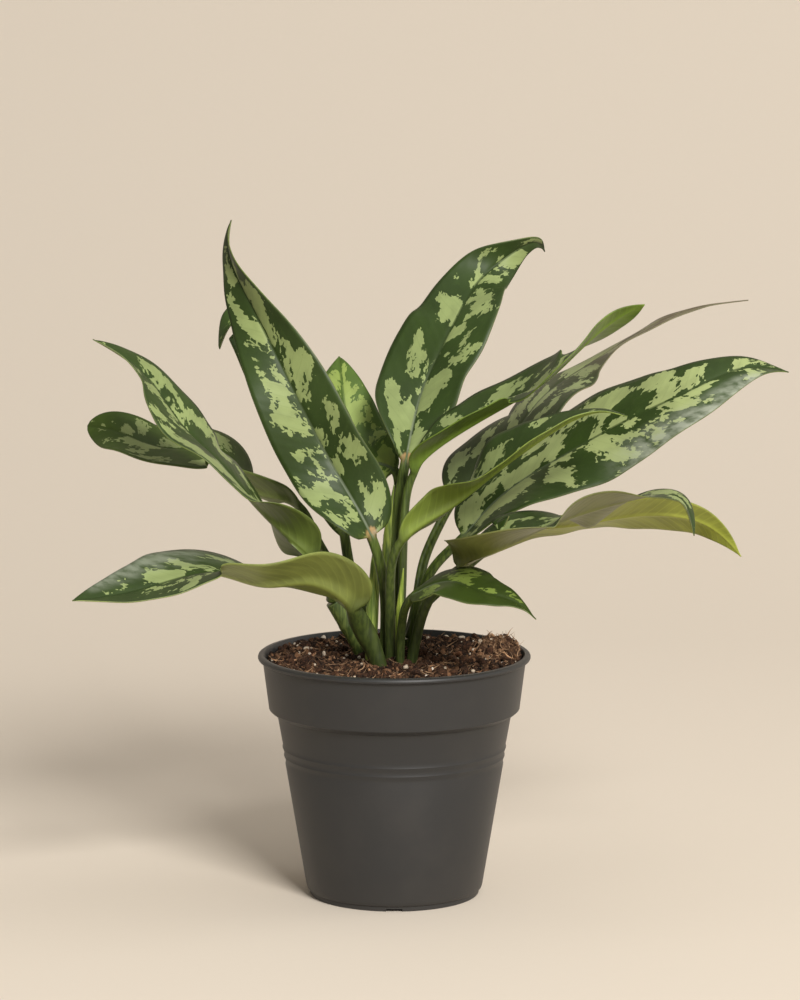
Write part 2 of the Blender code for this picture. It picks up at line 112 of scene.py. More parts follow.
class Finish:
    """One material: a Principled shader and the nodes that feed it."""

    def __init__(self, name, **plain):
        self.material = bpy.data.materials.new(name)
        self.material.use_nodes = True
        self.tree = self.material.node_tree
        self.shader = self.tree.nodes["Principled BSDF"]
        for socket, value in plain.items():
            self.shader.inputs[socket.replace("_", " ")].default_value = value

    def feed(self, socket, value):
        if isinstance(value, Wire):
            self.tree.links.new(value.socket, socket)
        elif isinstance(value, tuple) and len(value) == 3 and socket.type == "RGBA":
            socket.default_value = (*value, 1.0)
        else:
            socket.default_value = value

    def add(self, kind, sockets, output=0, **settings):
        """Makes any node: its settings first, then the values or links of its sockets."""
        node = self.tree.nodes.new("ShaderNode" + kind)
        for name, value in settings.items():
            setattr(node, name, value)
        for key, value in sockets.items():
            self.feed(node.inputs[key], value)
        return Wire(self, node.outputs[output])

    def blend(self, share, first, second):
        """The colour 'first' turned into 'second' by 'share'."""
        return self.add("Mix", {0: share, 6: first, 7: second}, output=2, data_type="RGBA")

    def position(self):
        return self.add("TexCoord", {}, output="Object")

    def uv(self, name):
        return self.split(self.add("UVMap", {}, uv_map=name))[:2]

    def split(self, vector):
        node = self.tree.nodes.new("ShaderNodeSeparateXYZ")
        self.feed(node.inputs[0], vector)
        return [Wire(self, output) for output in node.outputs]

    def join(self, x, y, z):
        return self.add("CombineXYZ", {0: x, 1: y, 2: z})

    def noise(self, vector, scale, detail=2.0, roughness=0.5, distortion=0.0):
        sockets = {"Vector": vector, "Scale": scale, "Detail": detail}
        sockets.update({"Roughness": roughness, "Distortion": distortion})
        return self.add("TexNoise", sockets)

    def cells(self, vector, scale):
        """The centre of the cell that each point lies in."""
        return self.add("TexVoronoi", {"Vector": vector, "Scale": scale}, output="Position")

    def bump(self, height, strength, distance):
        sockets = {"Height": height, "Strength": strength, "Distance": distance}
        self.set(Normal=self.add("Bump", sockets))

    def set(self, **sockets):
        for name, value in sockets.items():
            self.feed(self.shader.inputs[name.replace("_", " ")], value)
        return self.material


def tone(red, green, blue):
    """A colour given as it is seen, from 0 to 255, as the linear light that shaders work in."""
    seen = np.array([red, green, blue]) / 255
    linear = np.where(seen <= 0.04045, seen / 12.92, ((seen + 0.055) / 1.055) ** 2.4)
    return tuple(float(value) for value in linear)


# ---------------------------------------------------------------- finishes

DARK_GREEN = tone(52, 70, 28)
DEEP_GREEN = tone(36, 58, 32)
SAGE = tone(142, 156, 99)
UNDERSIDE = tone(102, 116, 52)
SIDE_SHIFT = 0.37  # keeps the patterns of a leaf's two halves apart


def scaled(colour, factor):
    return tuple(min(1.0, factor * value) for value in colour)


def stalk_colour(f):
    """Greens that run along the stalk in soft streaks, with painted shade darkening them towards the foot.
    """
    x, y, z = f.split(f.position())
    streaks = f.noise(f.join(x, y, z * 0.06), 900.0, 2.0)
    # Painted shade: darkest at the mix, fading out 17 cm up, under the leaves.
    low = 1.0 - z.rise(0.105, 0.170)
    green = f.blend(streaks.rise(0.3, 0.7), tone(54, 68, 26), tone(88, 104, 42))
    return f.blend(low * 0.6, green, tone(38, 46, 20))


def upper_face(name, seed, sage, dark, pale, sheen, scar, brown):
    """The blotched upper side of a leaf.

    Blotches lean a little towards the tip, as the side veins do. Noise is read from the centres of small
    cells, so its edges are jagged, and a blotch shows where the noise passes a limit that rises towards
    the edge, along the midrib and at the tip. Finer noise of the same kind cuts specks into the green
    and islands into the blotches. The map 'size' holds metres across and along the blade, and 'share'
    the same as shares of its half width and its length. 'sheen' is a painted sheen, the silvery
    reflection of the lamp, on the outer part of one half; 'scar' is a dry spot at the base, and 'brown'
    how strongly the blade turns grey-brown from its middle towards the tip.
    """
    f = Finish(name, Specular_IOR_Level=0.27)
    across, along = f.uv("size")
    share_across, length = f.uv("share")
    share = abs(share_across)
    out = abs(across)
    half = across.sign() * SIDE_SHIFT + seed
    vein = along - out * 0.9
    lengthwise = along * 0.8 - out * 0.45
    crosswise = out * 0.95
    leaning = f.join(lengthwise, crosswise, half)
    wobble = f.noise(leaning, 600.0, 2.0) - 0.5
    moved = f.join(lengthwise + wobble * 0.0012, crosswise + wobble * 0.0010, half)
    jagged = f.cells(moved, 1050.0)
    broad = f.noise(f.cells(moved, 560.0), 92.0, detail=0.0, distortion=0.4) - 0.5
    middling = f.noise(jagged, 230.0, 1.0) - 0.5
    fine = f.noise(jagged, 640.0, 1.0) - 0.5
    value = broad * 0.95 + middling * 0.55 + fine * 0.16
    edge_limit = share.rise(0.60, 1.0) * 0.20 + share.rise(0.86, 0.97) * 0.12
    rib_limit = (1.0 - out.rise(0.0003, 0.0012)) * 0.08
    tip_limit = length.rise(0.75, 1.0) * 0.14
    limit = (0.5 - sage) * 0.4 + edge_limit + rib_limit + tip_limit
    blotch = (value - limit).rise(-0.004, 0.005)
    soft = f.noise(leaning, 60.0, 2.0)
    veins = (vein * 1150.0 + (soft - 0.5) * 4.0).sine()
    fine_veins = veins.rise(0.86, 1.0)
    green = f.blend(soft.rise(0.3, 0.75), scaled(dark, 0.74), dark)
    green = f.blend(f.noise(moved, 300.0, 3.0).rise(0.5, 0.8) * 0.35, green, scaled(dark, 1.4))
    light = f.blend(f.noise(moved, 120.0, 2.0).rise(0.35, 0.65), scaled(pale, 0.84), pale)
    light = f.blend(fine_veins * 0.07, light, dark)
    colour = f.blend(blotch, green, light)
    rib = 1.0 - out.rise(0.0003, 0.0009)
    rib_tone = f.blend(length.rise(0.0, 0.5), tone(112, 122, 98), scaled(dark, 0.8))
    colour = f.blend(rib * 0.75, colour, rib_tone)
    margin = share.rise(0.965, 0.99)
    colour = f.blend(margin * 0.5, colour, tone(96, 104, 72))
    if scar:
        spot = (1.0 - (length + out * 6.0 + middling * 0.05).rise(0.02, 0.035)) * (1.0 - rib)
        colour = f.blend(spot, colour, tone(190, 150, 104))
    # Painted sheen: a silvery reflection of the lamp, painted over the outer part of one half.
    if sheen:
        one_half = (share * across.sign()).rise(0.2, 0.8)
        outer_part = length.rise(0.40, 0.60) * (1.0 - length.rise(0.85, 0.97))
        painted_sheen = one_half * outer_part * f.noise(moved, 260.0, 3.0).rise(0.2, 0.7) * sheen
        colour = f.blend(painted_sheen, colour, tone(164, 170, 152))
    if brown:
        colour = f.blend(length.rise(0.40, 0.80) * brown, colour, tone(112, 100, 80))
    stalk = 1.0 - along.rise(-0.003, 0.006)
    colour = f.blend(stalk, colour, stalk_colour(f))
    relief = veins * 0.35 + f.noise(moved, 500.0, 3.0) * 0.65
    f.bump(relief, 0.2, 0.00025)
    gloss = f.noise(leaning, 45.0, 2.0).rise(0.45, 0.7)
    return f.set(Base_Color=colour, Roughness=0.52 - gloss * 0.12)


def lower_face(name, seed, green):
    """The plain underside: one green in soft clouds, with paler side veins and midrib."""
    f = Finish(name, Roughness=0.45, Specular_IOR_Level=0.5)
    across, along = f.uv("size")
    out = abs(across)
    vein = along - out * 0.95
    half = across.sign() * 0.31 + seed
    place = f.join(vein, out * 0.62 + half, half)
    cloud = f.noise(place, 90.0, 3.0, 0.6)
    veins = (vein * 1500.0).sine()
    paler = scaled(green, 1.25)
    colour = f.blend(cloud.rise(0.35, 0.7), scaled(green, 0.72), green)
    colour = f.blend(veins.rise(0.7, 1.0) * 0.35, colour, paler)
    rib = 1.0 - out.rise(0.0008, 0.0024)
    colour = f.blend(rib * 0.5, colour, paler)
    stalk = 1.0 - along.rise(-0.003, 0.008)
    colour = f.blend(stalk, colour, stalk_colour(f))
    f.bump(veins * 0.4 + cloud, 0.2, 0.0003)
    return f.set(Base_Color=colour)


def spear_finish(name, light, dark):
    """Rolled leaf: pale and dark greens in long streaks."""
    f = Finish(name, Roughness=0.38, Specular_IOR_Level=0.5)
    x, y, z = f.split(f.position())
    streaks = f.noise(f.join(x, y, z * 0.05), 1100.0, 3.0)
    mottle = f.noise(f.join(x, y, z * 0.4), 260.0, 2.0)
    colour = f.blend(streaks.rise(0.35, 0.68), dark, light)
    colour = f.blend(mottle.rise(0.55, 0.75) * 0.25, colour, DEEP_GREEN)
    f.bump(streaks, 0.25, 0.0003)
    return f.set(Base_Color=colour)


def pot_finish():
    """Moulded dark plastic: a fine grain, faint upright flow marks, and dust in soft clouds."""
    f = Finish("pot_plastic", Specular_IOR_Level=0.45)
    position = f.position()
    x, y, z = f.split(position)
    grain = f.noise(position, 2600.0, 2.0)
    flow = f.noise(f.join(x, y, z * 0.12), 130.0, 2.0)
    dust = f.noise(position, 34.0, 4.0, 0.6)
    colour = f.blend(dust.rise(0.42, 0.72) * 0.5, tone(43, 43, 43), tone(54, 52, 50))
    colour = f.blend((1.0 - z.rise(0.0, 0.02)) * 0.35, colour, tone(58, 55, 52))
    f.bump(grain * 0.7 + flow * 0.5, 0.16, 0.0002)
    return f.set(Base_Color=colour, Roughness=0.40 + dust * 0.14)


def peat_finish(name, dark, light, scale=700.0):
    """Peat: a rough grain of lumps over broad clouds."""
    f = Finish(name, Roughness=0.92, Specular_IOR_Level=0.25)
    position = f.position()
    lumps = f.noise(position, scale, 4.0, 0.65)
    clouds = f.noise(position, scale * 0.12, 2.0)
    colour = f.blend((lumps * 0.7 + clouds * 0.3).rise(0.38, 0.66), dark, light)
    f.bump(lumps, 0.9, 0.0012)
    return f.set(Base_Color=colour)


def crumb_finish(name, dark, light, scale=900.0):
    """Crumbs and fibres: each piece has its own shade, broken up by a rough grain."""
    f = Finish(name, Roughness=0.9, Specular_IOR_Level=0.25)
    shade = f.uv("shade")[0]
    grain = f.noise(f.position(), scale, 4.0, 0.6)
    colour = f.blend((shade * 0.75 + (grain - 0.5) * 0.9 + 0.1).rise(0.0, 1.0), dark, light)
    f.bump(grain, 0.6, 0.0006)
    return f.set(Base_Color=colour)


def backdrop_finish():
    """Matt paper with a barely visible weave."""
    f = Finish("studio_paper", Roughness=0.9, Specular_IOR_Level=0.1)
    weave = f.noise(f.position(), 220.0, 2.0)
    return f.set(Base_Color=f.blend(weave * 0.25, tone(220, 209, 194), tone(216, 204, 188)))


# ---------------------------------------------------------------- meshes from arrays


def make_piece(name, points, faces, materials, replaced=(), face_materials=None, uvs=None):
    """Puts arrays of points and faces into one smooth-shaded piece that rides on the pot.

    'materials' are its finishes, 'replaced' names the CAD nodes that it stands for, 'face_materials'
    gives each face's number in 'materials', and 'uvs' holds maps by name with one row for each point.
    """
    mesh = bpy.data.meshes.new(name)
    mesh.from_pydata(np.asarray(points, float), [], faces)
    mesh.polygons.foreach_set("use_smooth", np.ones(len(mesh.polygons), bool))
    for made in materials:
        mesh.materials.append(made)
    if face_materials is not None:
        mesh.polygons.foreach_set("material_index", np.asarray(face_materials, np.int32))
    corner = np.empty(len(mesh.loops), np.int32)
    mesh.loops.foreach_get("vertex_index", corner)
    for uv_name, values in (uvs or {}).items():
        layer = mesh.uv_layers.new(name=uv_name)
        layer.data.foreach_set("uv", np.asarray(values, np.float32)[corner].ravel())
    mesh.update()
    piece = bpy.data.objects.new(name, mesh)
    bpy.context.scene.collection.objects.link(piece)
    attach(piece, BODY)
    if replaced:
        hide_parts(*replaced)
    return piece


def ring_faces(rows, columns):
    """Quads between rings of points, with one face on each end."""
    row, column = np.meshgrid(np.arange(rows - 1), np.arange(columns), indexing="ij")
    after = (column + 1) % columns
    low, high = row * columns, (row + 1) * columns
    quads = np.stack([low + column, low + after, high + after, high + column], -1).reshape(-1, 4)
    foot = list(range(columns - 1, -1, -1))
    top = list(range((rows - 1) * columns, rows * columns))
    return [*quads.tolist(), foot, top]


def natural_spline(stations, values, at):
    """The natural cubic curve through 'values' at 'stations', read at the places 'at'.

    Each stretch is the straight line between its ends plus the cubic whose bends at the ends come
    from one linear system that makes slopes match at every inner point.
    """
    stations = np.asarray(stations, float)
    values = np.asarray(values, float).reshape(len(stations), -1)
    gap = np.diff(stations)
    matrix = np.eye(len(stations))
    right = np.zeros_like(values)
    for i in range(1, len(stations) - 1):
        matrix[i, i - 1 : i + 2] = gap[i - 1], 2 * (gap[i - 1] + gap[i]), gap[i]
        right[i] = 6 * ((values[i + 1] - values[i]) / gap[i] - (values[i] - values[i - 1]) / gap[i - 1])
    bend = np.linalg.solve(matrix, right)
    k = np.clip(np.searchsorted(stations, at) - 1, 0, len(stations) - 2)
    span = gap[k][:, None]
    before = (stations[k + 1] - at)[:, None] / span
    after = (at - stations[k])[:, None] / span
    cubic = (before**3 - before) * bend[k] + (after**3 - after) * bend[k + 1]
    return before * values[k] + after * values[k + 1] + cubic * span**2 / 6


def unit(vectors):
    """Vectors scaled to length 1."""
    return vectors / np.linalg.norm(vectors, axis=-1, keepdims=True)


def lengths_along(points):
    """Distance of each point from the first, over straight steps."""
    return np.append(0.0, np.cumsum(np.linalg.norm(np.diff(points, axis=0), axis=1)))


def smooth_noise(x, y, seed):
    """Noise between -1 and 1 in the plane: random values on a whole-number lattice, blended smoothly."""
    size = 64
    lattice = np.random.default_rng(seed).uniform(-1, 1, (size, size))
    column, row = np.floor(x).astype(int), np.floor(y).astype(int)
    right, up = x - column, y - row
    right, up = right * right * (3 - 2 * right), up * up * (3 - 2 * up)
    this_row, next_row = row % size, (row + 1) % size
    this_column, next_column = column % size, (column + 1) % size
    near = lattice[this_row, this_column] * (1 - right) + lattice[this_row, next_column] * right
    far = lattice[next_row, this_column] * (1 - right) + lattice[next_row, next_column] * right
    return near * (1 - up) + far * up


# ---------------------------------------------------------------- leaves

STALK_STATIONS = 36
BLADE_STATIONS = 130
HALF_SECTION = 13
EVEN = np.linspace(-1, 1, 2 * HALF_SECTION + 1)
# Places across a leaf from -1 at its left edge to 1 at its right, closest together at the midrib.
SECTION = EVEN * (0.45 + 0.55 * np.abs(EVEN))
HALF_THICK = 0.24  # of the blade
TIP_RADIUS = 0.3  # of the midrib
WAVES = 3.0  # along each edge


def section_map(across, along):
    """Map rows for the points of a leaf: over its upper face, then back across under it."""
    upper = np.stack([across, np.repeat(along[:, None], len(SECTION), 1)], -1)
    return np.concatenate([upper, upper[:, ::-1]], 1).reshape(-1, 2)


def leaf(name, heading, width, belly, stalk, blade, folds, curls, seed, sage, thick=(2.7, 2.2),
         wave=0.8, dark=DARK_GREEN, pale=SAGE, under=UNDERSIDE, sheen=0.0, scar=False, brown=0.0):
    """A leaf with its leafstalk.

    The midrib is a natural cubic curve through 'stalk' and then 'blade', whose points each end with a
    turn in degrees: the side direction starts level and is turned by it. At share t of the blade the half
    width is width / 2 times t to the power rise times (1 - t) to the power fall, scaled to be 1 at its
    widest. The stalk's radius is read evenly from 'thick', foot to blade. Each half of the section leaves
    the midrib at its fold angle and bends on by its curl; a wave that grows with the square of the
    distance from the midrib makes the edge wander. The upper face dips along the midrib and the lower
    face has a round rib. Over the first part of the blade the section turns smoothly into the round,
    grooved stalk.
    """
    points = np.array([*stalk, *(point[:3] for point in blade)], float)
    turns = [blade[0][3]] * len(stalk) + [point[3] for point in blade]
    lengths = lengths_along(points)
    start, end = lengths[len(stalk)], lengths[-1]
    at_stalk = np.linspace(0, start, STALK_STATIONS, endpoint=False)
    at = np.append(at_stalk, np.linspace(start, end, BLADE_STATIONS))
    middle = natural_spline(lengths, points, at)
    turn = np.radians(natural_spline(lengths, turns, at))
    ahead = unit(np.gradient(middle, at, axis=0))
    bearing = math.radians(heading)
    level = np.array([math.sin(bearing), -math.cos(bearing), 0.0])
    side = unit(level - (ahead @ level)[:, None] * ahead)
    up = np.cross(side, ahead)
    side = side * np.cos(turn) + up * np.sin(turn)
    up = np.cross(side, ahead)
    t = np.clip((at - start) / (end - start), 0, 1)
    rise, fall = belly
    widest = rise / (rise + fall)
    half = width / 2 * (t / widest) ** rise * ((1 - t) / (1 - widest)) ** fall
    neck = thick[-1]
    to_blade = np.clip(at / start, 0, 1)
    on_stalk = np.interp(to_blade, np.linspace(0, 1, len(thick)), thick)
    radius = np.where(at < start, on_stalk, neck + (TIP_RADIUS - neck) * t**0.7)
    reach = np.hypot(half, radius)
    flat = np.clip(half / (4 * radius), 0, 1)
    flat = (flat * flat * (3 - 2 * flat))[:, None]
    fold = np.stack([natural_spline((0, 0.5, 1), folds[i], t)[:, 0] for i in (0, 1)], 1)
    column = (SECTION > 0).astype(int)
    away = np.abs(SECTION)
    direction = np.where(SECTION < 0, -1.0, 1.0)
    curl = np.array(curls)[column]
    lean = np.radians(fold[:, column] + curl * away / 2) * flat
    slope = np.radians(fold[:, column] + curl * away) * flat
    out = reach[:, None] * away
    phase = np.array([0.0, SIDE_SHIFT])[column] + seed
    grown = np.sin(np.pi * t)[:, None] ** 0.7
    passed = WAVES * t[:, None]
    swing = np.sin(2 * np.pi * (passed + phase)) + 0.4 * np.sin(2 * np.pi * (2.3 * passed + 2 * phase))
    ripple = wave * away**2 * grown * swing * flat
    spread = side[:, None] * (direction * out * np.cos(lean))[..., None]
    surface = middle[:, None] + spread + up[:, None] * (out * np.sin(lean) + ripple)[..., None]
    normal = up[:, None] * np.cos(slope)[..., None] - side[:, None] * (direction * np.sin(slope))[..., None]
    thickness = radius[:, None]
    round_half = thickness * np.sqrt(np.maximum(1 - SECTION**2, 0.05))
    clear_of_foot = np.clip(8 * to_blade - 1, 0, 1)[:, None]
    groove = 0.45 * thickness * np.exp(-((out / (0.5 * thickness)) ** 2)) * clear_of_foot
    channel = 0.3 * np.exp(-((out / 0.9) ** 2))
    rib = 0.85 * (thickness - HALF_THICK) * np.exp(-((out / (1.15 * thickness)) ** 2))
    above = (1 - flat) * 0.7 * (round_half - groove) + flat * (HALF_THICK - channel)
    below = (1 - flat) * round_half + flat * (HALF_THICK + rib)
    upper = surface + above[..., None] * normal
    lower = surface - below[..., None] * normal
    rings = np.concatenate([upper, lower[:, ::-1]], axis=1)
    rows, columns = rings.shape[:2]
    along = (at - start) * MM
    uvs = {
        "size": section_map(direction * out * MM, along),
        "share": section_map(np.repeat(SECTION[None], rows, 0), t),
    }
    face_materials = np.ones((rows - 1, columns), int)
    face_materials[:, : len(SECTION) - 1] = 0
    face_materials = np.append(face_materials.ravel(), (1, 1))
    finishes = [
        upper_face(f"{name}_upper", seed, sage, dark, pale, sheen, scar, brown),
        lower_face(f"{name}_under", seed, under),
    ]
    placed = np.clip(MM * rings.reshape(-1, 3), *CAD_BOX)
    faces = ring_faces(rows, columns)
    make_piece(f"{name}_look", placed, faces, finishes, (name,), face_materials, uvs)


leaf("leaf_tall_left", heading=150, width=39, belly=(0.35, 0.91),
     stalk=[(-5, -7, 94), (-4, -10, 112), (-4, -14, 136)],
     blade=[(-10, -21, 163, 35), (-24, -13, 188, 70), (-42, -10, 222, 65),
            (-60, 1, 257, 85), (-72, 17, 282, 110), (-72, 35, 295, 90)],
     folds=((28, 14, 8), (6, 26, 30)), curls=(-6, -4), seed=41.0, sage=0.47, wave=0.6, scar=True)
leaf("leaf_centre", heading=60, width=45, belly=(0.71, 1.29),
     stalk=[(2, 6.5, 116.5), (1, 8, 135), (1, 11, 165)],
     blade=[(5, 13, 191, -35), (16, 37, 228, -5), (27, 44, 249, -10),
            (45, 71, 271, -45), (64, 77, 281, -120), (68, 86, 276, -140)],
     folds=((34, 0, 30), (22, 20, 8)), curls=(-4, -8), thick=(2.3, 2.2), seed=22.0, sage=0.52, scar=True)
leaf("leaf_arched_right", heading=0, width=38, belly=(0.64, 0.91),
     stalk=[(2, 1.5, 116.5), (3, 2, 135), (4, 2, 166)],
     blade=[(8, 2, 187, 15), (24, 0, 203, 0), (59, 3, 223, 5),
            (71, -10, 234, 5), (95, -7, 255, 45), (108, -13, 263, 70)],
     folds=((40, 24, 4), (44, 14, -4)), curls=(-4, -14), thick=(2.3, 2.2), seed=43.0, sage=0.5,
     under=tone(104, 126, 44))
leaf("leaf_slender_back", heading=20, width=50, belly=(0.55, 1.74),
     stalk=[(6.5, 15.5, 112.5), (10, 19, 128), (13, 24, 144), (20, 28, 160)],
     blade=[(27, 33, 171, -50), (45, 45, 185, -40), (61, 50, 208, -15), (84, 72, 224, -15),
            (108, 73, 239, 0), (136, 70, 252, -10), (159, 67, 256, -15)],
     folds=((-2, -10, 12), (10, 16, 18)), curls=(-22, -8), thick=(2.3, 2.0), seed=64.0, sage=0.52,
     dark=tone(58, 70, 38), pale=tone(142, 154, 104), under=tone(112, 108, 72), brown=0.8)
# Its pale is the sage of the blotches brightened with painted light, making up for the little lamp light
# its tilted blade takes.
leaf("leaf_big_right", heading=0, width=54, belly=(0.47, 0.97),
     stalk=[(7, -5, 94), (8, -5, 112), (17, -8, 147)],
     blade=[(30, -10, 161, -35), (42, -7, 174, -30), (74, -10, 197, -35), (100, -18, 213, -45),
            (129, -24, 228, -45), (155, -14, 236, -40), (171, -8, 233, -20)],
     folds=((16, -4, 4), (28, 6, 16)), curls=(-18, -6), seed=45.0, sage=0.54, sheen=0.75,
     pale=tone(158, 170, 112))
leaf("leaf_near_right", heading=0, width=33, belly=(0.7, 0.97),
     stalk=[(-1, -12, 94), (-2, -14, 112), (-2, -20, 135)],
     blade=[(3, -32, 163, 35), (22, -37, 177, 30), (42, -47, 194, -10),
            (63, -57, 211, -10), (88, -62, 223, 0), (98, -68, 222, -10)],
     folds=((16, 34, 4), (30, 40, 14)), curls=(-16, -20), seed=66.0, sage=0.45, wave=0.5,
     under=tone(124, 142, 58))
leaf("leaf_low_right", heading=0, width=47, belly=(0.56, 1.01),
     stalk=[(5, -13, 94), (8, -14, 110), (18, -22, 140)],
     blade=[(29, -30, 151, 45), (46, -56, 164, 20), (62, -51, 171, 10), (82, -49, 178, 40),
            (103, -44, 183, 20), (122, -42, 183, -5), (128, -50, 168, -35)],
     folds=((72, 18, 6), (52, -6, 14)), curls=(0, -10), seed=7.0, sage=0.5, wave=0.5,
     under=tone(104, 108, 52))
leaf("leaf_yellow_right", heading=0, width=33, belly=(0.63, 1.15),
     stalk=[(6.5, 10, 112.5), (11, 9, 124), (23, 6, 137)],
     blade=[(38, 2, 151, 50), (55, -2, 162, 40), (76, -10, 166, 30),
            (107, -13, 171, 45), (135, -21, 168, 65), (149, -38, 157, 70)],
     folds=((12, 16, 12), (8, 0, 16)), curls=(-8, -12), thick=(2.3, 2.0), seed=8.0, sage=0.5, wave=0.5,
     under=tone(146, 152, 60))
leaf("leaf_small_right", heading=-10, width=28, belly=(0.61, 1.29),
     stalk=[(2, -19, 94), (2, -21, 112), (3, -26, 126)],
     blade=[(8, -39, 140, -20), (24, -49, 148, -20), (36, -61, 146, -30),
            (52, -68, 142, -25), (60, -73, 136, -10)],
     folds=((-4, 10, 4), (10, 12, 14)), curls=(-20, -12), seed=29.0, sage=0.36, wave=0.4,
     dark=tone(54, 70, 22), pale=tone(116, 134, 60))
leaf("leaf_upper_left", heading=180, width=47, belly=(0.6, 1.05),
     stalk=[(-27.5, -4.5, 132), (-28, -10, 143), (-33, -15, 150)],
     blade=[(-36, -21, 154, -50), (-59, -21, 176, 0), (-79, -21, 199, 10),
            (-90, -17, 209, 20), (-107, -5, 230, 25), (-130, -14, 248, 5)],
     folds=((36, 10, 38), (12, 4, 20)), curls=(-8, -16), thick=(2.4, 2.4), seed=90.0, sage=0.5)
leaf("leaf_blunt_left", heading=170, width=34, belly=(0.59, 0.6),
     stalk=[(-27.5, 0.5, 132), (-27, 2, 145), (-33, 4, 157)],
     blade=[(-41, 4, 172, -25), (-66, 16, 179, -20), (-77, 28, 191, 25),
            (-102, 26, 195, 25), (-123, 35, 201, 40), (-137, 46, 202, 60)],
     folds=((24, 10, -6), (20, 0, 12)), curls=(6, -8), thick=(2.4, 2.4), seed=51.0, sage=0.48,
     dark=tone(72, 92, 34), pale=tone(150, 164, 104))
leaf("leaf_low_left", heading=180, width=51, belly=(0.46, 0.96),
     stalk=[(-5, -18, 94), (-7, -20, 108), (-15, -24, 127)],
     blade=[(-18, -30, 134, -45), (-37, -42, 147, -30), (-56, -49, 147, -15), (-75, -46, 151, 0),
            (-98, -58, 149, 25), (-119, -71, 146, 30), (-135, -84, 146, 20)],
     folds=((14, 14, 20), (12, 12, 12)), curls=(0, -2), thick=(3.9, 3.9, 4.1, 5.2, 5.0, 3.4),
     seed=72.0, sage=0.34, wave=0.5, under=tone(126, 136, 67), sheen=0.5)
# Its greens are brighter and yellower than DARK_GREEN and SAGE: partly its own colour, partly painted light
# shining through the leaf.
leaf("leaf_short_back", heading=130, width=35, belly=(0.57, 0.97),
     stalk=[(-3, 7, 116.5), (-4, 11, 132), (0, 19, 164)],
     blade=[(0, 26, 185, 55), (-12, 38, 188, 35), (-23, 55, 215, 20), (-25, 71, 230, 25)],
     folds=((-8, 12, 10), (30, 4, 12)), curls=(-18, -8), thick=(2.3, 2.0), seed=93.0, sage=0.55, wave=0.4,
     dark=tone(78, 102, 38), pale=tone(140, 158, 80))
leaf("leaf_hidden_left", heading=160, width=34, belly=(0.61, 0.67),
     stalk=[(-8, 11, 94), (-10, 13, 112), (-19, 16, 140)],
     blade=[(-22, 18, 157, 65), (-37, 22, 207, 60), (-54, 25, 229, 40),
            (-71, 30, 250, 40), (-77, 25, 239, 30)],
     folds=((14, 16, 22), (16, 12, 16)), curls=(-6, -8), seed=14.0, sage=0.45, wave=0.5,
     dark=tone(70, 92, 42), pale=tone(132, 152, 84))

# ---------------------------------------------------------------- canes and spears

AROUND = 40
STEM_STATIONS = 90
COLLAR_HEIGHT = 0.25


def stem(name, path, radii, finish, seam=0.0, rings=()):
    """A stem along a natural cubic path, its radius read evenly from 'radii'.

    The section is a circle. 'seam' is the share of its radius that a ridge stands out, where the edge of
    the rolled leaf lies: it winds a third of a turn round the stem on the way up, between shallow grooves.
    Each of 'rings' is a height share where an old leaf left its mark: a narrow bell-shaped collar there
    keeps the full radius, and the rest of the stem is thinner by COLLAR_HEIGHT.
    """
    path = np.array(path, float)
    lengths = lengths_along(path)
    at = np.linspace(0, lengths[-1], STEM_STATIONS)
    middle = natural_spline(lengths, path, at)
    share = at / lengths[-1]
    radius = np.interp(share, np.linspace(0, 1, len(radii)), radii)
    for place in rings:
        radius = radius - COLLAR_HEIGHT + COLLAR_HEIGHT * np.exp(-(((share - place) / 0.035) ** 2))
    ahead = unit(np.gradient(middle, at, axis=0))
    side = unit(np.cross(ahead, (0.0, 1.0, 0.0)))
    front = np.cross(ahead, side)
    angle = np.arange(AROUND) * 2 * np.pi / AROUND
    turn = angle[None] - 2.2 * share[:, None] + 1.0
    ridge = np.exp(-np.mod(turn, 2 * np.pi) / 0.9)
    section = radius[:, None] * (1 - seam + seam * ridge)
    if seam:
        section = section - 0.03 * radius[:, None] * (1 + np.sin(5 * turn))
    offset = side[:, None] * np.cos(angle)[None, :, None] + front[:, None] * np.sin(angle)[None, :, None]
    points = MM * (middle[:, None] + section[..., None] * offset).reshape(-1, 3)
    make_piece(f"{name}_look", points, ring_faces(STEM_STATIONS, AROUND), [finish], (name,))


cane = spear_finish("cane_rind", tone(104, 118, 58), tone(62, 78, 36))
tall_spear = spear_finish("spear_olive", tone(132, 146, 62), tone(76, 96, 38))
bright_spear = spear_finish("spear_yellow", tone(186, 202, 88), tone(128, 152, 56))
# The spear's own pale greens, brightened with painted light against the shade it stands in.
left_spear = spear_finish("spear_pale_painted_lit", tone(158, 174, 78), tone(92, 114, 44))
stem("cane_left", [(-11.5, 2, 94), (-12.5, 1.5, 105), (-18, 0, 117), (-26.3, -2, 131.1)],
     (5.0, 5.0, 4.8, 4.5), cane, rings=(0.35, 0.7))
stem("cane_centre", [(-0.5, 4, 94), (-0.5, 4, 105), (-0.5, 4, 116)],
     (5.2, 5.2, 5.0), cane, rings=(0.6,))
stem("cane_right", [(6, 13, 94), (6.5, 13, 103), (6.5, 13, 111.6)],
     (4.6, 4.6, 4.2), cane, rings=(0.6,))
stem("spear_tall", [(-3, 1.8, 116.5), (-3.5, 0, 140), (-2.5, -3, 165), (0, -4, 183)],
     (2.2, 2.4, 2.2, 0.3), tall_spear, seam=0.16)
stem("spear_bright", [(1.7, -6, 94), (2, -6, 112), (2.5, -8, 130), (4, -10, 147)],
     (2.1, 2.1, 1.9, 0.3), bright_spear, seam=0.16)
stem("spear_left", [(-11, -8.5, 94), (-10.3, -8.6, 112), (-9, -7.5, 135), (-8, -6, 162)],
     (2.6, 2.6, 3.2, 3.1, 2.4, 0.3), left_spear, seam=0.16)

# ---------------------------------------------------------------- pot

SHARP_DEGREES = 32
WELD_DECIMALS = 7  # a tenth of a micrometre


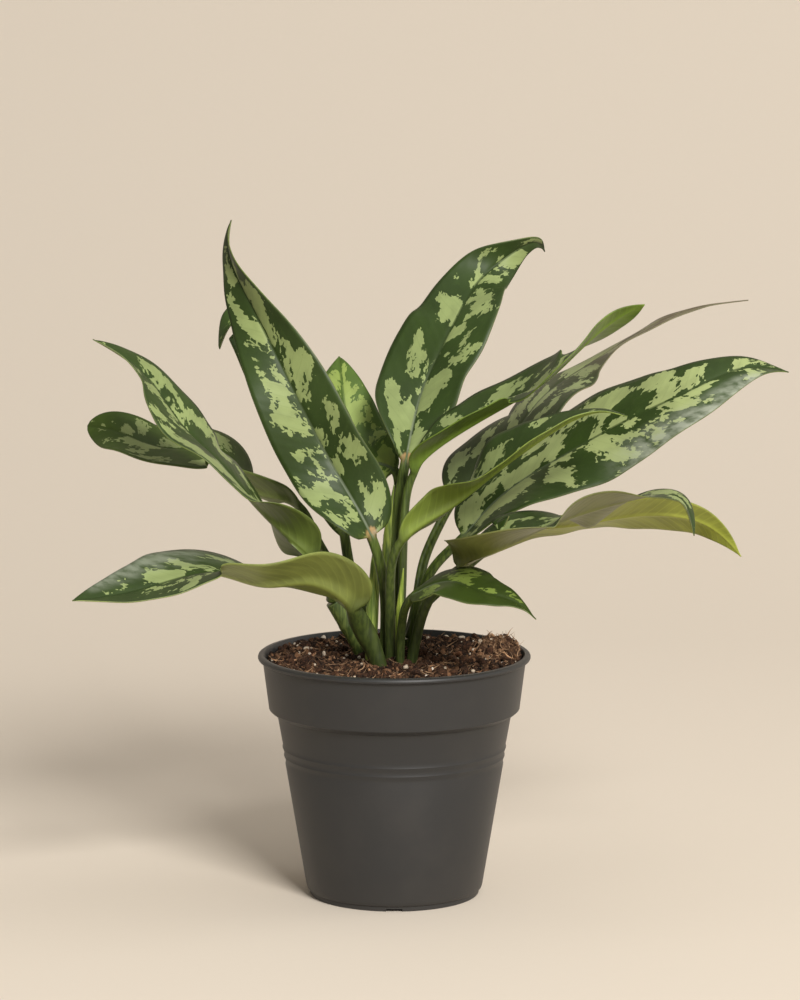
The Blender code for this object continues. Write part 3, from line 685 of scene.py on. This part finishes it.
def smooth_copy(node, finish):
    """A copy of a CAD node with its loose triangles joined and shaded smooth, except over sharp edges."""
    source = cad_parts[node].data
    points = np.empty(3 * len(source.vertices))
    source.vertices.foreach_get("co", points)
    places, index = np.unique(points.reshape(-1, 3).round(WELD_DECIMALS), axis=0, return_inverse=True)
    corners = np.empty(len(source.loops), np.int32)
    source.loops.foreach_get("vertex_index", corners)
    faces = index.reshape(-1)[corners].reshape(-1, 3)
    kept = (faces[:, 0] != faces[:, 1]) & (faces[:, 1] != faces[:, 2]) & (faces[:, 2] != faces[:, 0])
    piece = make_piece(f"{node}_look", places, faces[kept].tolist(), [finish], (node,))
    piece.data.set_sharp_from_angle(angle=math.radians(SHARP_DEGREES))


smooth_copy("pot", pot_finish())

# ---------------------------------------------------------------- potting mix

MIX_EDGE_RADIUS = 55.8
SCATTER_RADIUS = MIX_EDGE_RADIUS - 1.2
MIX_LEVEL = 104.6
MIX_SKIRT = 98.0
MIX_STEPS = 360
MIX_RINGS = 100
CRUMBS = 3600
rng = np.random.default_rng(7)


def mix_height(x, y):
    """Height of the mix in mm: a mound at the stems, a heap at one edge, and lumps of three sizes."""
    mound = 1.8 * np.exp(-(x * x + y * y) / 24.0**2)
    heap = 4.6 * np.exp(-((x - 49.0) ** 2 + (y - 14.0) ** 2) / 17.0**2)
    lumps = 1.3 * smooth_noise(x / 7 + 9, y / 7 + 9, 1) + 1.1 * smooth_noise(x / 3 + 5, y / 3 + 5, 2)
    crumbs = 0.6 * np.abs(smooth_noise(x / 1.3 + 50, y / 1.3 + 50, 3))
    return MIX_LEVEL + mound + heap + lumps + crumbs


def make_mix_surface(finish):
    """The top of the mix as rings about the pot's axis, and a skirt that goes down inside the wall."""
    angle = np.arange(MIX_STEPS) * 2 * np.pi / MIX_STEPS
    radius = np.linspace(MIX_EDGE_RADIUS, 0.2, MIX_RINGS)[:, None]
    x, y = radius * np.cos(angle), radius * np.sin(angle)
    top = np.stack([x, y, mix_height(x, y)], -1)
    skirt = top[:1].copy()
    skirt[..., 2] = MIX_SKIRT
    points = MM * np.concatenate([skirt, top]).reshape(-1, 3)
    faces = ring_faces(MIX_RINGS + 1, MIX_STEPS)
    make_piece("potting_mix_look", points, faces, [finish], ("potting_mix",))


def icosahedron():
    """12 points on a unit sphere, from three golden rectangles, and the 20 triangles between neighbours."""
    golden = (1 + 5**0.5) / 2
    corners = [(side, end * golden) for side in (-1, 1) for end in (-1, 1)]
    points = [(p, q, 0) for p, q in corners]
    points += [(0, p, q) for p, q in corners]
    points += [(q, 0, p) for p, q in corners]
    points = np.array(points, float)
    near = np.linalg.norm(points[:, None] - points[None], axis=2) < 2.1  # neighbours are 2 apart
    triples = [(a, b, c) for a in range(12) for b in range(a) for c in range(b)]
    faces = np.array([(a, b, c) for a, b, c in triples if near[a, b] and near[b, c] and near[a, c]])
    first, second, third = (points[faces[:, i]] for i in range(3))
    inward = np.einsum("ij,ij->i", np.cross(second - first, third - first), first) < 0
    faces[inward] = faces[inward][:, ::-1]
    return unit(points), faces


def random_turns(count):
    """Rotation matrices drawn evenly, from random unit quaternions."""
    q = unit(rng.normal(size=(count, 4)))
    w, x, y, z = q.T
    rows = [
        [1 - 2 * (y * y + z * z), 2 * (x * y - z * w), 2 * (x * z + y * w)],
        [2 * (x * y + z * w), 1 - 2 * (x * x + z * z), 2 * (y * z - x * w)],
        [2 * (x * z - y * w), 2 * (y * z + x * w), 1 - 2 * (x * x + y * y)],
    ]
    return np.array(rows).transpose(2, 0, 1)


def scattered(count):
    """Places on the mix, even over its area."""
    angle = rng.uniform(0, 2 * np.pi, count)
    radius = SCATTER_RADIUS * np.sqrt(rng.uniform(0, 1, count))
    return radius * np.cos(angle), radius * np.sin(angle)


def heaped(count):
    """Places bunched on the heap at the edge of the mix."""
    x, y = rng.normal(47, 6, count), rng.normal(12, 9, count)
    inside = np.minimum(1, SCATTER_RADIUS / np.hypot(x, y))
    return x * inside, y * inside


def make_lumps(name, centres, sizes, stretch, finish, rough, replaced=(), subdivide=0):
    """Uneven lumps: a 20-sided ball pulled out of round by 'stretch' and by random steps at each point.

    Each lump carries one random number, which its finish may read as its shade. 'rough' limits the steps.
    """
    base, triangles = icosahedron()
    count = len(centres)
    steps = rng.uniform(1 - rough, 1 + rough, (count, len(base), 1))
    shape = base[None] * steps * stretch * sizes[:, None, None] / 2
    turned = np.einsum("nij,npj->npi", random_turns(count), shape)
    points = (centres[:, None] + turned).reshape(-1, 3)
    faces = (triangles[None] + (np.arange(count) * len(base))[:, None, None]).reshape(-1, 3)
    shade = np.repeat(rng.beta(1.0, 2.8, count), len(base))
    uvs = {"shade": np.stack([shade, shade], -1)}
    piece = make_piece(name, MM * points, faces.tolist(), [finish], replaced, uvs=uvs)
    if subdivide:
        modifier = piece.modifiers.new("round", "SUBSURF")
        modifier.levels = modifier.render_levels = subdivide
    else:
        piece.data.shade_flat()


def make_fibres(name, place, length, radius, tilt, finish):
    """Short bent fibres: each is a thin four-sided tube along a shallow arc that tapers to its ends.

    The middle of a fibre lies just above the mix, it heads anywhere, and 'tilt' spreads its slope.
    """
    x, y = place
    count, rows, sides = len(x), 6, 4
    along = np.linspace(-0.5, 0.5, rows)[None, :, None]
    heading = rng.uniform(0, 2 * np.pi, count)
    slope = rng.normal(0, tilt, count)
    level = np.cos(slope)
    forward = np.stack([np.cos(heading) * level, np.sin(heading) * level, np.sin(slope)], -1)[:, None]
    sideways = np.stack([-np.sin(heading), np.cos(heading), np.zeros(count)], -1)[:, None]
    upward = np.cross(forward, sideways)
    long = rng.uniform(*length, count)[:, None, None]
    bend = rng.normal(0, 0.2, (count, 1, 1)) * 4 * along**2 * long
    lift = 0.3 + 0.35 * long[:, 0, 0] * np.abs(np.sin(slope))
    centre = np.stack([x, y, mix_height(x, y) + lift], -1)
    middle = centre[:, None] + forward * along * long + sideways * bend + upward * np.abs(bend) * 0.5
    thin = rng.uniform(*radius, count)[:, None, None] * (1.1 - 1.8 * np.abs(along))
    angle = np.arange(sides) * 2 * np.pi / sides
    round_it = sideways[:, :, None] * np.cos(angle)[:, None] + upward[:, :, None] * np.sin(angle)[:, None]
    points = (middle[:, :, None] + thin[..., None] * round_it).reshape(-1, 3)
    firsts = np.arange(count) * rows * sides
    faces = (np.array(ring_faces(rows, sides))[None] + firsts[:, None, None]).reshape(-1, sides)
    shade = np.repeat(rng.uniform(0, 1, count), rows * sides)
    uvs = {"shade": np.stack([shade, shade], -1)}
    make_piece(name, MM * points, faces.tolist(), [finish], uvs=uvs)


def grain_places(names):
    """Centre and mean size of each named CAD grain, in mm."""
    boxes = np.array([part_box(name) for name in names]) / MM
    return boxes.mean(axis=1), (boxes[:, 1] - boxes[:, 0]).mean(axis=1)


def on_mix(place, sizes, sunk):
    """Centres of lumps on the mix, each sunk into it by a share of its size."""
    x, y = place
    return np.stack([x, y, mix_height(x, y) + (0.5 - sunk) * sizes], -1)


def scatter_lumps(name, places, count, span, sunk, stretch, finish, rough, subdivide=0):
    """Lumps of sizes within 'span' on the mix, where the function 'places' puts them."""
    sizes = rng.uniform(*span, count)
    centres = on_mix(places(count), sizes, sunk)
    make_lumps(name, centres, sizes, stretch, finish, rough, subdivide=subdivide)


# The bed is near black: dark peat, plus painted shade for the gaps between the crumbs.
make_mix_surface(peat_finish("peat_bed", tone(20, 11, 7), tone(62, 40, 27)))
crumb = crumb_finish("peat_crumb", tone(18, 10, 6), tone(146, 106, 76))
sizes = rng.uniform(0.8, 2.8, CRUMBS) * rng.uniform(0.6, 1.25, CRUMBS)
centres = on_mix(scattered(CRUMBS), sizes, 0.35)
make_lumps("peat_crumbs", centres, sizes, (1.3, 1.0, 0.65), crumb, rough=0.3)
clod = peat_finish("peat_clod", tone(30, 18, 12), tone(92, 62, 43), 1300.0)
scatter_lumps("peat_clods", scattered, 170, (3.0, 6.0), 0.35, (1.2, 1.0, 0.7), clod,
              rough=0.3, subdivide=2)
heap_crumb = crumb_finish("heap_crumb", tone(60, 39, 27), tone(182, 142, 106))
scatter_lumps("heap_crumbs", heaped, 500, (0.8, 2.6), 0.2, (1.4, 1.0, 0.5), heap_crumb, rough=0.3)
fibre = crumb_finish("peat_fibre", tone(60, 38, 25), tone(194, 156, 120))
make_fibres("peat_fibres", scattered(650), (2, 9), (0.07, 0.24), 0.3, fibre)
make_fibres("heap_fibres", heaped(150), (2, 7), (0.1, 0.32), 0.6, fibre)
white = crumb_finish("perlite_white", tone(184, 166, 144), tone(240, 230, 216), 1500.0)
grains = [f"perlite_grain_{number}" for number in range(1, 9)]
centres, sizes = grain_places(grains)
make_lumps("perlite_grains", centres, sizes * 1.15, (1.2, 0.9, 0.75), white,
           rough=0.35, replaced=grains, subdivide=1)
scatter_lumps("perlite_specks", scattered, 210, (0.5, 2.0), 0.1, (1.0, 1.0, 0.8), white, rough=0.2)
bark = crumb_finish("bark_tan", tone(112, 72, 50), tone(198, 154, 116))
chips = [f"bark_chip_{number}" for number in range(1, 5)]
centres, sizes = grain_places(chips)
make_lumps("bark_chips", centres, sizes, (1.7, 0.8, 0.45), bark,
           rough=0.15, replaced=chips, subdivide=1)
make_fibres("bark_splinters", scattered(70), (2, 6), (0.25, 0.6), 0.3, bark)

# ---------------------------------------------------------------- studio


def make_backdrop(finish):
    """Floor and backdrop in one sheet: flat, then a quarter circle, then upright."""
    near, far, turn_radius, wide, tall = -4.0, 0.6, 2.0, 6.0, 3.2
    angle = np.linspace(0, np.pi / 2, 40)
    curve = np.column_stack([far + turn_radius * np.sin(angle), turn_radius * (1 - np.cos(angle))])
    profile = np.concatenate([[(near, 0.0)], curve, [(far + turn_radius, tall)]])
    left = np.column_stack([np.full(len(profile), -wide), profile])
    right = np.column_stack([np.full(len(profile), wide), profile])
    points = np.concatenate([left, right])
    count = len(profile)
    faces = [(i, i + count, i + count + 1, i + 1) for i in range(count - 1)]
    mesh = bpy.data.meshes.new("studio_sweep")
    mesh.from_pydata(points, [], faces)
    mesh.polygons.foreach_set("use_smooth", np.ones(len(faces), bool))
    mesh.materials.append(finish)
    sweep = bpy.data.objects.new("studio_sweep", mesh)
    bpy.context.scene.collection.objects.link(sweep)


LAMP_AIM = (0.0, 0.0, 0.15)
LAMP_COLOUR = (1.0, 0.98, 0.95)


def area_light(name, place, size, power):
    """A square lamp that faces LAMP_AIM."""
    light = bpy.data.lights.new(name, "AREA")
    light.energy = power
    light.size = size
    light.color = LAMP_COLOUR
    lamp = bpy.data.objects.new(name, light)
    lamp.location = place
    x, y, z = np.subtract(place, LAMP_AIM)
    lamp.rotation_euler = (math.atan2(math.hypot(x, y), z), 0.0, math.atan2(x, -y))
    bpy.context.scene.collection.objects.link(lamp)


make_backdrop(backdrop_finish())
area_light("key", (1.30, -3.50, 2.67), 1.5, 238)
area_light("top", (0.3, -0.4, 2.8), 2.2, 12)
area_light("side", (2.6, 0.4, 1.4), 1.6, 12)
world = bpy.data.worlds.new("studio_air")
world.use_nodes = True
background = world.node_tree.nodes["Background"]
background.inputs["Color"].default_value = (1.0, 0.97, 0.93, 1.0)
background.inputs["Strength"].default_value = 0.25
bpy.context.scene.world = world
bpy.context.scene.view_settings.view_transform = "Standard"

camera = bpy.data.cameras.new("camera")
camera.sensor_fit = "HORIZONTAL"
camera.sensor_width = 36
camera.lens = 202.5
viewer = bpy.data.objects.new("camera", camera)
pitch, distance, aim = math.radians(8.9), 1.968, (0.0025, 0.0, 0.1756)
viewer.location = (aim[0], aim[1] - distance * math.cos(pitch), aim[2] + distance * math.sin(pitch))
viewer.rotation_euler = (math.pi / 2 - pitch, 0, 0)
bpy.context.scene.collection.objects.link(viewer)
bpy.context.scene.camera = viewer
